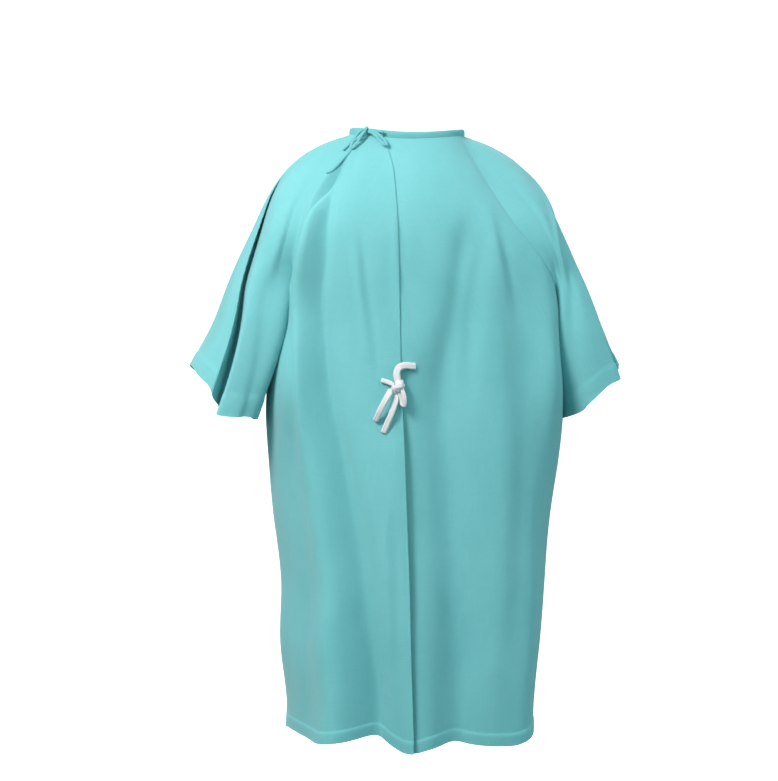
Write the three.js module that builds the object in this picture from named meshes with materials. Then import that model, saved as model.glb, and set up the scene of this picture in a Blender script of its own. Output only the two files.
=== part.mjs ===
// A wrap-back patient gown in its worn shape, with nobody inside it.
// Millimetres. +Z is up, the front faces -Y, the back faces +Y and the wearer's left is +X.
// The origin is level with the side of the neck, on the gown's middle line.
import * as THREE from "three";

// ---- driving dimensions -------------------------------------------------------------------

const cloth = 3; // thickness that stands for the cloth and the folds in it
const seamGap = 0.6; // between two pieces that are sewn together
const layerGap = 2; // between the under layer of the back and the layer that wraps over it

const neckHalfWidth = 100;
const neckBackDepth = 72;
const neckFrontDepth = 88;
const neckBackDrop = 12;
const neckFrontDrop = 75;
const backRaglanAngle = rad(32); // where the raglan seams start on the neckline
const frontRaglanAngle = rad(25);

const underarmDrop = 330;
const gownLength = 1050; // side of the neck to the back hem
const frontHemRise = 112; // the front hem hangs this much higher
const sideHemRise = 22;

const chestHalfWidth = 236;
const elbowHalfWidth = 256;
const thighHalfWidth = 238;
const hemHalfWidth = 212;
const chestBackDepth = 160;
const seatBackDepth = 172;
const hemBackDepth = 186;
const chestFrontDepth = 166;
const bellyFrontDepth = 184;
const hemFrontDepth = 172;
const shoulderBladeBulge = 100;

const elbowLevel = -492;
const thighLevel = -740;

const sleeveHemOut = 374; // outer corner of the sleeve's hem
const sleeveHemDrop = 400;
const sleeveHemIn = 271; // inner corner of the sleeve's hem
const sleeveInnerDrop = 492;
const sleeveBackDepth = 118;
const sleeveFrontDepth = 112;
const sleeveSideGap = 4; // between the sleeve's underarm line and the body's side

const bindingHeight = 11;
const bindingThickness = 4.4;

const waistTieLevel = -440;
const ventTop = -452; // the back wrap is free below this level
const ventHemReach = 112; // how far from the middle the free part reaches at the hem

const waistTieWidth = 10;
const waistTieSides = 10;
const neckTieWidth = 4.4;
const neckTieSides = 8;

// free edge of the wrap that lies on top, and hidden edge of the layer below it
const topEdgeStops = [[-gownLength, 17], [-810, 23], [-400, 35], [-75, 38], [0, 52]];
const underEdgeStops = [[-gownLength, 118], [-600, 128], [-330, 118], [-75, 84], [0, 76]];

const fabricColour = new THREE.Color(0x82ccd0);
const tieColour = new THREE.Color(0xe9ecea);

// ---- small helpers ------------------------------------------------------------------------

function rad(degrees) {
  return (degrees * Math.PI) / 180;
}

function mix(a, b, t) {
  return a + (b - a) * t;
}

function clamp01(t) {
  return Math.min(1, Math.max(0, t));
}

function smooth(t) {
  const c = clamp01(t);
  return c * c * (3 - 2 * c);
}

// A smooth curve through [position, value] stops, in rising order of position.
function profile(stops) {
  const slope = stops.map((stop, i) => {
    const before = stops[Math.max(0, i - 1)];
    const after = stops[Math.min(stops.length - 1, i + 1)];
    return (after[1] - before[1]) / (after[0] - before[0]);
  });
  return (at) => {
    let i = 0;
    while (i < stops.length - 2 && at > stops[i + 1][0]) i += 1;
    const width = stops[i + 1][0] - stops[i][0];
    const t = clamp01((at - stops[i][0]) / width);
    const t2 = t * t;
    const t3 = t2 * t;
    return (
      (2 * t3 - 3 * t2 + 1) * stops[i][1] +
      (t3 - 2 * t2 + t) * width * slope[i] +
      (3 * t2 - 2 * t3) * stops[i + 1][1] +
      (t3 - t2) * width * slope[i + 1]
    );
  };
}

// ---- the body's form ----------------------------------------------------------------------

const halfWidth = profile([
  [-gownLength, hemHalfWidth],
  [thighLevel, thighHalfWidth],
  [elbowLevel, elbowHalfWidth],
  [-underarmDrop, chestHalfWidth],
]);
const backDepth = profile([
  [-gownLength, hemBackDepth],
  [thighLevel, seatBackDepth],
  [-underarmDrop, chestBackDepth],
]);
const frontDepth = profile([
  [-gownLength, hemFrontDepth],
  [thighLevel, bellyFrontDepth],
  [-underarmDrop, chestFrontDepth],
]);
const topEdge = profile(topEdgeStops);
const underEdge = profile(underEdgeStops);

// fall of the middle of the back and of the front, from the neckline to the underarm level
const backFall = profile([[0, neckBackDepth], [0.22, 118], [0.5, 147], [1, chestBackDepth]]);
const frontFall = profile([[0, neckFrontDepth], [0.3, 128], [0.6, 152], [1, chestFrontDepth]]);

const sides = {
  back: {
    sign: 1,
    neckDepth: neckBackDepth,
    neckDrop: neckBackDrop,
    raglan: backRaglanAngle,
    fall: backFall,
    depth: backDepth,
    sleeveDepth: sleeveBackDepth,
    hemTurn: 2,
  },
  front: {
    sign: -1,
    neckDepth: neckFrontDepth,
    neckDrop: neckFrontDrop,
    raglan: frontRaglanAngle,
    fall: frontFall,
    depth: frontDepth,
    sleeveDepth: sleeveFrontDepth,
    hemTurn: 1,
  },
};

// A point of the neckline; angle 0 is the wearer's left and 90 degrees is the middle back.
function neckPoint(angle) {
  const side = Math.sin(angle) >= 0 ? sides.back : sides.front;
  return new THREE.Vector3(
    neckHalfWidth * Math.cos(angle),
    side.neckDepth * Math.sin(angle),
    -side.neckDrop * Math.sin(angle) ** 2,
  );
}

// The left raglan seam, from the neckline at m = 0 to the underarm at m = 1.
function seamPoint(side, m) {
  const start = neckPoint(side.sign * side.raglan);
  const bulge = shoulderBladeBulge * Math.sin(Math.PI * m ** 1.3) ** 0.8;
  return new THREE.Vector3(
    mix(start.x, chestHalfWidth, m),
    start.y * (1 - m) + side.sign * (m < 1 ? bulge : 0),
    mix(start.z, -underarmDrop, m),
  );
}

// One row of the body, at a fraction 0..1 from neckline to underarm, or 1..2 from there to the hem.
function bodyRow(side, row) {
  const m = Math.min(1, row);
  const end = side.raglan * (1 - m);
  const power = 1 - 0.15 * m;
  const seam = seamPoint(side, m);
  const middleDepth = side.fall(m);
  const middleLevel = mix(-side.neckDrop, -underarmDrop, m);
  const low = Math.max(0, row - 1);
  const hem = -gownLength + (side.sign > 0 ? 0 : frontHemRise);
  const sideHem = -gownLength + sideHemRise;
  return {
    end,
    // angle 90 degrees is the middle, and end is the seam or the side
    at(angle) {
      const c = Math.cos(angle);
      const reach = Math.abs(c) ** power / Math.cos(end) ** power;
      const lift = (1 - Math.sin(angle) ** power) / (1 - Math.sin(end) ** power);
      if (row <= 1) {
        return new THREE.Vector3(
          Math.sign(c) * seam.x * reach,
          side.sign * middleDepth - (side.sign * middleDepth - seam.y) * lift,
          middleLevel + (seam.z - middleLevel) * reach * reach,
        );
      }
      const bottom = mix(sideHem, hem, Math.sin(angle) ** side.hemTurn);
      const z = mix(-underarmDrop, bottom, low);
      const y = side.depth(z) * Math.sin(angle) ** power;
      return new THREE.Vector3(Math.sign(c) * halfWidth(z) * reach, side.sign * y, z);
    },
    // the angle at which the row reaches this x
    angleAt(x) {
      const width = row <= 1 ? seam.x : halfWidth(mix(-underarmDrop, hem, low));
      const share = (Math.abs(x) / width) * Math.cos(end) ** power;
      const angle = Math.acos(clamp01(share) ** (1 / power));
      return x < 0 ? Math.PI - angle : angle;
    },
    level: row <= 1 ? middleLevel : mix(-underarmDrop, hem, low),
  };
}

// Rows from the neckline down; the same list serves every panel, so that their seams line up.
const upperRows = 9;
const lowerRows = 15;
const rowList = [];
for (let i = 0; i <= upperRows; i += 1) rowList.push(i / upperRows);
for (let i = 1; i <= lowerRows; i += 1) rowList.push(1 + i / lowerRows);

// ---- solids from sheets -------------------------------------------------------------------

// A sheet is a list of points and triangles; the solid is the sheet with thickness to its inside.
// push moves each point along its outward normal first.
function thicken(points, triangles, thickness, push = () => 0) {
  const normals = points.map(() => new THREE.Vector3());
  const edges = new Map();
  for (const [a, b, c] of triangles) {
    const ab = points[b].clone().sub(points[a]);
    const ac = points[c].clone().sub(points[a]);
    const face = ab.cross(ac);
    for (const k of [a, b, c]) normals[k].add(face);
    for (const [p, q] of [[a, b], [b, c], [c, a]]) {
      if (edges.has(q + "_" + p)) edges.delete(q + "_" + p);
      else edges.set(p + "_" + q, [p, q]);
    }
  }
  normals.forEach((n) => n.normalize());
  const count = points.length;
  const outer = points.map((p, i) => p.clone().addScaledVector(normals[i], push(p)));
  const inner = outer.map((p, i) => p.clone().addScaledVector(normals[i], -thickness));
  const index = [];
  for (const [a, b, c] of triangles) index.push(a, b, c, a + count, c + count, b + count);
  for (const [p, q] of edges.values()) index.push(q, p, p + count, q, p + count, q + count);
  const geometry = new THREE.BufferGeometry();
  geometry.setFromPoints([...outer, ...inner]);
  geometry.setIndex(index);
  geometry.computeVertexNormals();
  return geometry;
}

// Triangles of a grid of rows by columns whose point (i, j) has the number index(i, j).
function gridTriangles(rows, columns, index, flip) {
  const triangles = [];
  for (let i = 0; i < rows; i += 1) {
    for (let j = 0; j < columns; j += 1) {
      const a = index(i, j);
      const b = index(i, j + 1);
      const c = index(i + 1, j + 1);
      const d = index(i + 1, j);
      for (const t of [[a, b, c], [a, c, d]]) triangles.push(flip ? [t[0], t[2], t[1]] : t);
    }
  }
  return triangles;
}

function gridSolid(grid, flip, push) {
  const columns = grid[0].length - 1;
  const index = (i, j) => i * (columns + 1) + j;
  return thicken(grid.flat(), gridTriangles(grid.length - 1, columns, index, flip), cloth, push);
}

function mesh(name, geometry, colour = fabricColour, roughness = 0.85) {
  const material = new THREE.MeshStandardMaterial({ color: colour, roughness, metalness: 0 });
  const made = new THREE.Mesh(geometry, material);
  made.name = name;
  return made;
}

// Moves the two end columns of a row towards its middle, which leaves the seam's gap.
function trimmed(row, atStart, atEnd) {
  const last = row.length - 1;
  const inset = (from, to, gap) => {
    const way = to.clone().sub(from);
    return from.clone().addScaledVector(way.normalize(), gap);
  };
  const made = row.slice();
  made[0] = inset(row[0], row[1], atStart);
  made[last] = inset(row[last], row[last - 1], atEnd);
  return made;
}

// ---- the body's panels --------------------------------------------------------------------

const steepFront = 0.4; // down to this row the front turns sharply at its raglan seams

function frontPanel() {
  const columns = 20;
  const grid = rowList.map((row) => {
    const made = bodyRow(sides.front, row);
    const points = [];
    for (let j = 0; j <= columns; j += 1) {
      points.push(made.at(mix(made.end, Math.PI - made.end, j / columns)));
    }
    const gap = seamGap / 2 + cloth * smooth(1 - row / steepFront);
    return trimmed(points, gap, gap);
  });
  return mesh("front_panel", gridSolid(grid, false));
}

// Where the free part of the wrap starts at this level: a slanting line from the vent's top.
function ventLine(z) {
  const down = clamp01((ventTop - z) / (ventTop + gownLength));
  return mix(topEdge(ventTop), ventHemReach, down);
}

// The wearer's left half of the back, from the side to the free edge of the wrap.
function backLeftPanel() {
  const columns = 10;
  const grid = rowList.map((row) => {
    const made = bodyRow(sides.back, row);
    const level = made.level;
    const inEdge = level < ventTop ? ventLine(level) + seamGap / 2 : topEdge(level);
    const from = made.angleAt(inEdge);
    const points = [];
    for (let j = 0; j <= columns; j += 1) points.push(made.at(mix(from, made.end, j / columns)));
    return trimmed(points, 0, seamGap / 2);
  });
  return mesh("back_left_panel", gridSolid(grid, false));
}

// The free lower corner of the wrap, which swings out from the slanting line.
function backLeftFlap() {
  const columns = 4;
  const grid = [];
  for (const row of rowList) {
    const made = bodyRow(sides.back, row);
    if (made.level > ventTop - 20) continue;
    const from = made.angleAt(topEdge(made.level));
    const to = made.angleAt(ventLine(made.level) - seamGap / 2);
    const points = [];
    for (let j = 0; j <= columns; j += 1) points.push(made.at(mix(from, to, j / columns)));
    grid.push(points);
  }
  return mesh("back_left_flap", gridSolid(grid, false));
}

// The wearer's right half of the back, which runs on under the left one to its hidden edge.
function backRightPanel() {
  const columns = 16;
  const grid = rowList.map((row) => {
    const made = bodyRow(sides.back, row);
    const to = made.angleAt(underEdge(made.level));
    const points = [];
    for (let j = 0; j <= columns; j += 1) {
      points.push(made.at(mix(Math.PI - made.end, to, j / columns)));
    }
    return trimmed(points, seamGap / 2, 0);
  });
  const under = (p) => -(cloth + layerGap) * smooth((p.x - topEdge(p.z) + 110) / 80);
  return mesh("back_right_panel", gridSolid(grid, false, under));
}

// ---- the sleeves --------------------------------------------------------------------------

// The line over the shoulder and down the outside of the sleeve. m is as on the raglan seam,
// and runs on past 1 to the hem.
const hemReach = 1.325;
const cuffRow = 0.38; // the sleeve swings from the shoulder at this row
const swingGap = 0.15; // added there, for each millimetre of cloth, because the row is bent
const ridgeAcross = profile([
  [0, neckHalfWidth],
  [0.1, 145],
  [0.22, 189],
  [cuffRow, 232],
  [0.64, 272],
  [1, 326],
  [hemReach, sleeveHemOut],
]);
const ridgeLevel = profile([
  [0, 0],
  [0.1, -16],
  [0.22, -42],
  [cuffRow, -88],
  [0.64, -171],
  [1, -292],
  [hemReach, -sleeveHemDrop],
]);

function ridgePoint(m) {
  return new THREE.Vector3(ridgeAcross(m), 0, ridgeLevel(m));
}

// The sleeve's underarm line, which starts where the raglan seams meet.
function innerPoint(m) {
  const t = (m - 1) / (hemReach - 1);
  const start = chestHalfWidth + sleeveSideGap;
  return new THREE.Vector3(
    mix(start, sleeveHemIn, t),
    0,
    mix(-underarmDrop, -sleeveInnerDrop, t),
  );
}

// Half of a sleeve row: from the shoulder line round to the seam, or to the underarm line.
function sleeveHalf(side, m, steps) {
  const start = ridgePoint(m);
  const stop = m < 1 ? seamPoint(side, m) : innerPoint(m);
  if (m < 1) stop.x += sleeveSideGap * smooth((m - 0.6) / 0.4);
  const arc = (4 / 3) * Math.tan(side.raglan / 4);
  const neckAngle = Math.atan2(
    side.neckDepth * Math.cos(side.raglan),
    -neckHalfWidth * Math.sin(side.raglan),
  );
  const turn = mix(neckAngle, Math.PI * 1.5, clamp01(m) ** 1.2);
  const arrive = new THREE.Vector3(Math.cos(turn), Math.sin(turn) * side.sign, 0);
  const full = side.sleeveDepth / 0.75;
  const leaveBy = profile([[0, arc * side.neckDepth], [cuffRow, 80], [1, full], [hemReach, full]]);
  const arriveBy = profile([[0, arc * 85], [cuffRow, 40], [1, full], [hemReach, full]]);
  // the seam's own depth is already part of the sleeve's depth there
  const share = (4 / 3) * side.sign * stop.y * smooth((m - cuffRow) / (1 - cuffRow));
  const curve = new THREE.CubicBezierCurve3(
    start,
    start.clone().add(new THREE.Vector3(0, side.sign * leaveBy(m), 0)),
    stop.clone().addScaledVector(arrive, share - arriveBy(m)),
    stop,
  );
  return curve.getPoints(steps);
}

const halfSteps = 10;

function sleeveRow(m) {
  const back = sleeveHalf(sides.back, m, halfSteps);
  const front = sleeveHalf(sides.front, m, halfSteps);
  return [...front.reverse(), ...back.slice(1)];
}

// The part over the shoulder stays with the body.
function shoulderGrid() {
  const rows = 6;
  const grid = [];
  for (let i = 0; i <= rows; i += 1) {
    const row = sleeveRow((cuffRow * i) / rows);
    grid.push(trimmed(row, seamGap / 2, seamGap / 2));
  }
  return grid;
}

// The hanging part: open to the body above the underarm, and a closed tube below it.
function cuffSheet() {
  const openRows = 7;
  const tubeRows = 4;
  const columns = 2 * halfSteps;
  const points = [];
  const index = (i, j) => {
    if (i <= openRows - 1) return i * (columns + 1) + j;
    return openRows * (columns + 1) + (i - openRows) * columns + (j % columns);
  };
  for (let i = 0; i < openRows; i += 1) {
    const m = mix(cuffRow, 1, i / openRows);
    const row = trimmed(sleeveRow(m), seamGap / 2, seamGap / 2);
    if (i === 0) {
      const next = sleeveRow(mix(cuffRow, 1, 0.1));
      row.forEach((p, j) => {
        const way = next[j].clone().sub(p).normalize();
        p.addScaledVector(way, seamGap / 2 + cloth * swingGap);
      });
    }
    points.push(...row);
  }
  for (let i = 0; i <= tubeRows; i += 1) {
    const row = sleeveRow(mix(1, hemReach, i / tubeRows));
    points.push(...row.slice(0, columns));
  }
  return { points, triangles: (flip) => gridTriangles(openRows + tubeRows, columns, index, flip) };
}

function mirrored(points) {
  return points.map((p) => new THREE.Vector3(-p.x, p.y, p.z));
}

function sleeveParts() {
  const shoulder = shoulderGrid();
  const cuff = cuffSheet();
  return [
    mesh("sleeve_left_shoulder", gridSolid(shoulder, true)),
    mesh("sleeve_left", thicken(cuff.points, cuff.triangles(true), cloth)),
    mesh("sleeve_right_shoulder", gridSolid(shoulder.map(mirrored), false)),
    mesh("sleeve_right", thicken(mirrored(cuff.points), cuff.triangles(false), cloth)),
  ];
}

// ---- the neck binding ---------------------------------------------------------------------

// A narrow band on the neckline; its hidden end runs on inside the end that lies on top.
function neckBinding() {
  const steps = 56;
  const from = Math.acos(topEdge(0) / neckHalfWidth);
  const hidden = Math.acos(underEdge(0) / neckHalfWidth);
  const to = hidden - 2 * Math.PI;
  const slip = bindingThickness + 1.2;
  const seat = 0.4;
  const rings = [];
  for (let i = 0; i <= steps; i += 1) {
    const angle = mix(from, to, i / steps);
    const p = neckPoint(angle);
    const out = new THREE.Vector3(p.x, p.y, 0).normalize();
    const turned = (from - angle) / (from - to);
    const shift = -slip * smooth((turned - 0.72) / 0.2);
    const ring = [];
    for (const [r, h] of [[1, 0], [1, 1], [0, 1], [0, 0]]) {
      const q = p.clone().addScaledVector(out, shift + 1 - bindingThickness * (1 - r));
      q.z += seat + bindingHeight * h;
      ring.push(q);
    }
    rings.push(ring);
  }
  const points = rings.flat();
  const index = [];
  for (let i = 0; i < steps; i += 1) {
    for (let k = 0; k < 4; k += 1) {
      const a = 4 * i + k;
      const b = 4 * i + ((k + 1) % 4);
      index.push(a, b, b + 4, a, b + 4, a + 4);
    }
  }
  const e = 4 * steps;
  index.push(0, 2, 1, 0, 3, 2, e, e + 1, e + 2, e, e + 2, e + 3);
  const geometry = new THREE.BufferGeometry().setFromPoints(points);
  geometry.setIndex(index);
  geometry.computeVertexNormals();
  return mesh("neck_binding", geometry);
}

// ---- the ties -----------------------------------------------------------------------------

function tube(name, route, width, sideCount, colour) {
  const curve = new THREE.CatmullRomCurve3(route.map((p) => new THREE.Vector3(...p)));
  const section = new THREE.Shape();
  for (let k = 0; k < sideCount; k += 1) {
    const angle = (2 * Math.PI * k) / sideCount;
    const x = (width / 2) * Math.cos(angle);
    const y = (width / 2) * Math.sin(angle);
    if (k === 0) section.moveTo(x, y);
    else section.lineTo(x, y);
  }
  section.closePath();
  const steps = Math.max(3, Math.round(curve.getLength() / (2.2 * width)));
  const geometry = new THREE.ExtrudeGeometry(section, { steps, extrudePath: curve });
  return mesh(name, geometry, colour, 0.9);
}

function lump(name, centre, radii, colour) {
  const geometry = new THREE.SphereGeometry(1, 14, 10);
  geometry.scale(...radii);
  geometry.translate(...centre);
  return mesh(name, geometry, colour, 0.9);
}

// Routes of the ties' free ends, point by point from the bow.
const waistLongTail = [
  [42.8, 169.8, -450.7],
  [46, 173, -464],
  [52, 174.5, -481],
  [59, 171.5, -499],
  [65, 167.8, -514],
];
const waistShortTail = [
  [53.9, 173, -441.8],
  [57.5, 177.8, -450],
  [65, 180, -463],
  [72, 176.5, -478],
  [78, 166.8, -494],
];
const waistRightLead = [
  [16, 161.5, -403], [27, 165, -402], [38, 168.8, -404.5], [43, 170, -412], [43, 170.5, -423.7],
];
const waistLeftLead = [[66, 163.2, -427], [58, 165, -429], [51.4, 167.8, -432.6]];
const neckLongTail = [
  [84.7, 56.6, -5.6], [95, 51.6, -21], [113, 59, -41], [129, 68.5, -58.6], [143, 75, -71.5], [150, 77.5, -74],
];
const neckShortTail = [[89, 54.4, -0.5], [100, 46.5, -12], [109, 45.8, -23], [118, 49.8, -31.5]];
const neckLead = [[54.6, 64.4, -1], [62.9, 60.2, 1.5], [70.6, 57.4, 3]];

function ties() {
  return [
    tube("waist_tie_long_tail", waistLongTail, waistTieWidth, waistTieSides, tieColour),
    tube("waist_tie_short_tail", waistShortTail, waistTieWidth, waistTieSides, tieColour),
    tube("waist_tie_right_lead", waistRightLead, waistTieWidth * 0.86, waistTieSides, tieColour),
    tube("waist_tie_left_lead", waistLeftLead, waistTieWidth * 0.6, waistTieSides, tieColour),
    lump("waist_tie_bow", [40, 170.8, waistTieLevel + 3], [11, 8, 13], tieColour),
    tube("neck_tie_long_tail", neckLongTail, neckTieWidth, neckTieSides, fabricColour),
    tube("neck_tie_short_tail", neckShortTail, neckTieWidth, neckTieSides, fabricColour),
    tube("neck_tie_lead", neckLead, neckTieWidth, neckTieSides, fabricColour),
    lump("neck_tie_bow", [79.5, 55.5, 2], [8.6, 6, 7], fabricColour),
  ];
}

// ---- the gown -----------------------------------------------------------------------------

const gown = new THREE.Group();
gown.add(frontPanel(), backLeftPanel(), backLeftFlap(), backRightPanel());
gown.add(...sleeveParts(), neckBinding(), ...ties());

export default gown;
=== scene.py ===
"""The looks of the patient gown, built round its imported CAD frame.

Metres. +Z is up, the gown's front faces -Y and its back +Y, and the wearer's left is +X. The origin is
level with the side of the neck, on the gown's middle line.
"""
import math
from types import SimpleNamespace

import bpy
import numpy as np
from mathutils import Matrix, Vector


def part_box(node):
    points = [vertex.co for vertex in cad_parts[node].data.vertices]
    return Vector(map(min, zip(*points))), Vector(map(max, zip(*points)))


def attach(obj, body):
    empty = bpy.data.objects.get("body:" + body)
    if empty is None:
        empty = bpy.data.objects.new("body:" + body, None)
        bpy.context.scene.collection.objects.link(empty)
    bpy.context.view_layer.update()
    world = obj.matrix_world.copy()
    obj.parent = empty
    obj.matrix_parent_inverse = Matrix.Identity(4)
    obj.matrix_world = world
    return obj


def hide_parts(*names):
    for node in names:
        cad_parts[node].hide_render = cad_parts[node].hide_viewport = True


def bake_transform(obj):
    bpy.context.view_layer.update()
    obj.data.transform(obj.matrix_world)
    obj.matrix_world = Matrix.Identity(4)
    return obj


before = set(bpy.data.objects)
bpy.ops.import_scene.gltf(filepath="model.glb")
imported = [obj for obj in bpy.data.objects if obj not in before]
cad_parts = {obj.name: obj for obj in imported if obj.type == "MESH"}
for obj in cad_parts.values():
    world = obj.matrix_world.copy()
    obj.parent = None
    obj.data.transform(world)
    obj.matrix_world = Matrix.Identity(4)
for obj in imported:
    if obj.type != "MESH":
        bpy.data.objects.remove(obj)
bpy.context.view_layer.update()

# ---- sizes that the frame gives ----

HEM_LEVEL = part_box("back_left_flap")[0].z
SLEEVE_HEM_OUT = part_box("sleeve_left")[1].x
SLEEVE_INNER_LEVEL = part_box("sleeve_left")[0].z

# ---- driving sizes, as in the CAD source ----

NECK_HALF_WIDTH = 0.1
NECK_BACK_DEPTH = 0.072
NECK_FRONT_DEPTH = 0.088
NECK_BACK_DROP = 0.012
NECK_FRONT_DROP = 0.075
BACK_RAGLAN = math.radians(32)
FRONT_RAGLAN = math.radians(25)
UNDERARM_LEVEL = -0.33
FRONT_HEM_RISE = 0.112
SIDE_HEM_RISE = 0.022
CHEST_HALF_WIDTH = 0.236
SHOULDER_BLADE_BULGE = 0.1
SLEEVE_HEM_LEVEL = -0.4
SLEEVE_HEM_IN = 0.271
SLEEVE_BACK_DEPTH = 0.118
SLEEVE_FRONT_DEPTH = 0.112
HEM_REACH = 1.325  # the sleeve rows' number at the hem: 0 is the neck, 1 the underarm
CUFF_ROW = 0.38  # and where the sleeve leaves the shoulder's slope
VENT_TOP = -0.452
VENT_HEM_REACH = 0.112
BINDING_HEIGHT = 0.011
BINDING_THICKNESS = 0.0044

FABRIC = 0.0005  # thickness of the cloth itself
HEM_HEIGHT = 0.022
STITCH = 0.0034  # length of one stitch
STITCH_PITCH = 0.0046
STITCH_INSET = 0.02  # from a turned hem's edge to its stitches
SEAM_STITCH_INSET = 0.0035


# ---- camera, floor and light ----

CAMERA_TURN = math.radians(8)  # towards the wearer's left
CAMERA_DISTANCE = 3.75
CAMERA_AIM = Vector((0.0312, -0.0044, -0.4436))
FRAME_WIDTH = 1.3615  # what the camera takes in at the gown
FLOOR_LEVEL = HEM_LEVEL - 0.42
FLOOR_RADIUS = 7.0
FLOOR_BEND = 1.5  # radius of the sweep from floor to wall
WALL_HEIGHT = 6.0
FLOOR_GLOW = 0.85  # keeps the ground pale under soft light
LIGHT_AIM = (0, 0.05, -0.45)


def link(obj):
    bpy.context.scene.collection.objects.link(obj)
    return obj


def make_camera():
    data = bpy.data.cameras.new("camera")
    data.sensor_width = 36
    data.lens = data.sensor_width * CAMERA_DISTANCE / FRAME_WIDTH
    camera = bpy.data.objects.new("camera", data)
    away = Vector((math.sin(CAMERA_TURN), math.cos(CAMERA_TURN), 0))
    camera.location = CAMERA_AIM + away * CAMERA_DISTANCE
    camera.rotation_euler = (math.pi / 2, 0, math.pi - CAMERA_TURN)
    bpy.context.scene.camera = link(camera)


def make_floor():
    """A pale floor that sweeps up into a wall all round, so that every view has the same ground."""
    sides, bend_steps = 96, 12
    flat = FLOOR_RADIUS - FLOOR_BEND
    outline = [(0.0, FLOOR_LEVEL), (flat, FLOOR_LEVEL)]
    for k in range(1, bend_steps + 1):
        angle = math.pi / 2 * k / bend_steps
        rise = FLOOR_BEND * (1 - math.cos(angle))
        outline.append((flat + FLOOR_BEND * math.sin(angle), FLOOR_LEVEL + rise))
    outline.append((FLOOR_RADIUS, FLOOR_LEVEL + WALL_HEIGHT))
    turns = [2 * math.pi * k / sides for k in range(sides)]
    points = [(r * math.cos(turn), r * math.sin(turn), z) for turn in turns for r, z in outline]
    n = len(outline)
    faces = []
    for k in range(sides):
        for i in range(n - 1):
            a, b = k * n + i, (k + 1) % sides * n + i
            faces.append((a, b, b + 1, a + 1))
    pale = bpy.data.materials.new("pale_floor")
    pale.use_nodes = True
    sockets = pale.node_tree.nodes["Principled BSDF"].inputs
    sockets["Base Color"].default_value = (0.84, 0.84, 0.84, 1)
    sockets["Roughness"].default_value = 0.9
    sockets["Emission Color"].default_value = (1, 1, 1, 1)
    sockets["Emission Strength"].default_value = FLOOR_GLOW
    floor = mesh_object("floor", points, faces, pale)
    floor.visible_diffuse = False
    floor.visible_glossy = False


def area_light(name, place, size, power, colour, target=LIGHT_AIM):
    data = bpy.data.lights.new(name, "AREA")
    data.shape = "SQUARE"
    data.size = size
    data.energy = power
    data.color = colour
    lamp = link(bpy.data.objects.new(name, data))
    lamp.location = place
    lamp.rotation_euler = (Vector(target) - Vector(place)).to_track_quat("-Z", "Y").to_euler()


def make_light():
    """A near, high key light from the wearer's left, and a pale sky that is weaker from below."""
    area_light("key", (1.55, 1.5, 1.05), 0.7, 62, (1.0, 0.85, 0.83), target=(0, 0.05, -0.25))
    area_light("fill", (-2.6, 2.0, 0.2), 2.0, 24, (0.95, 0.98, 1.0))
    area_light("front_fill", (0.6, -3.2, 0.9), 2.4, 34, (1.0, 0.97, 0.95))
    world = bpy.data.worlds.new("studio")
    world.use_nodes = True
    n = Nodes(world.node_tree)
    way = n.add("ShaderNodeTexCoord").outputs["Generated"]
    height = n.add("ShaderNodeSeparateXYZ", {"Vector": way}).outputs["Z"]
    share = n.math("ADD", n.math("MULTIPLY", height, 0.5), 0.5)
    sky = n.ramp(share, [(0.25, (0.07, 0.13, 0.14)), (0.85, (0.62, 0.76, 0.79))])
    n.tree.links.new(sky, world.node_tree.nodes["Background"].inputs["Color"])
    bpy.context.scene.world = world
    bpy.context.scene.view_settings.view_transform = "Standard"


# ---- small helpers ----


def mix(a, b, t):
    return a + (b - a) * t


def smooth(t):
    c = np.clip(t, 0, 1)
    return c * c * (3 - 2 * c)


def profile(stops):
    """A smooth curve through (position, value) stops, in rising order of position."""
    at = np.array([s[0] for s in stops], float)
    value = np.array([s[1] for s in stops], float)
    last = len(stops) - 1
    after = np.minimum(np.arange(last + 1) + 1, last)
    before = np.maximum(np.arange(last + 1) - 1, 0)
    slope = (value[after] - value[before]) / (at[after] - at[before])

    def curve(x):
        x = np.asarray(x, float)
        i = np.clip(np.searchsorted(at, x) - 1, 0, last - 1)
        width = at[i + 1] - at[i]
        t = np.clip((x - at[i]) / width, 0, 1)
        t2, t3 = t * t, t * t * t
        return (
            (2 * t3 - 3 * t2 + 1) * value[i]
            + (t3 - 2 * t2 + t) * width * slope[i]
            + (3 * t2 - 2 * t3) * value[i + 1]
            + (t3 - t2) * width * slope[i + 1]
        )

    return curve


def bump(x, middle, width):
    return np.exp(-(((x - middle) / width) ** 2))


def unit(v):
    return v / np.maximum(np.linalg.norm(v, axis=-1, keepdims=True), 1e-9)


# ---- the body's form ----

half_width = profile(
    [(HEM_LEVEL, 0.212), (-0.74, 0.238), (-0.492, 0.256), (UNDERARM_LEVEL, CHEST_HALF_WIDTH)]
)
back_depth = profile([(HEM_LEVEL, 0.186), (-0.74, 0.172), (UNDERARM_LEVEL, 0.16)])
front_depth = profile([(HEM_LEVEL, 0.172), (-0.74, 0.184), (UNDERARM_LEVEL, 0.166)])
back_fall = profile([(0, NECK_BACK_DEPTH), (0.22, 0.118), (0.5, 0.147), (1, 0.16)])
front_fall = profile([(0, NECK_FRONT_DEPTH), (0.3, 0.128), (0.6, 0.152), (1, 0.166)])
top_edge = profile([(HEM_LEVEL, 0.017), (-0.81, 0.023), (-0.4, 0.035), (-0.075, 0.038), (0, 0.052)])
under_edge = profile([(HEM_LEVEL, 0.118), (-0.6, 0.128), (-0.33, 0.118), (-0.075, 0.084), (0, 0.076)])
SIDE_HEM_LEVEL = HEM_LEVEL + SIDE_HEM_RISE
SQUARENESS = 0.15  # how far the body's section at the underarm is from an ellipse

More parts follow.
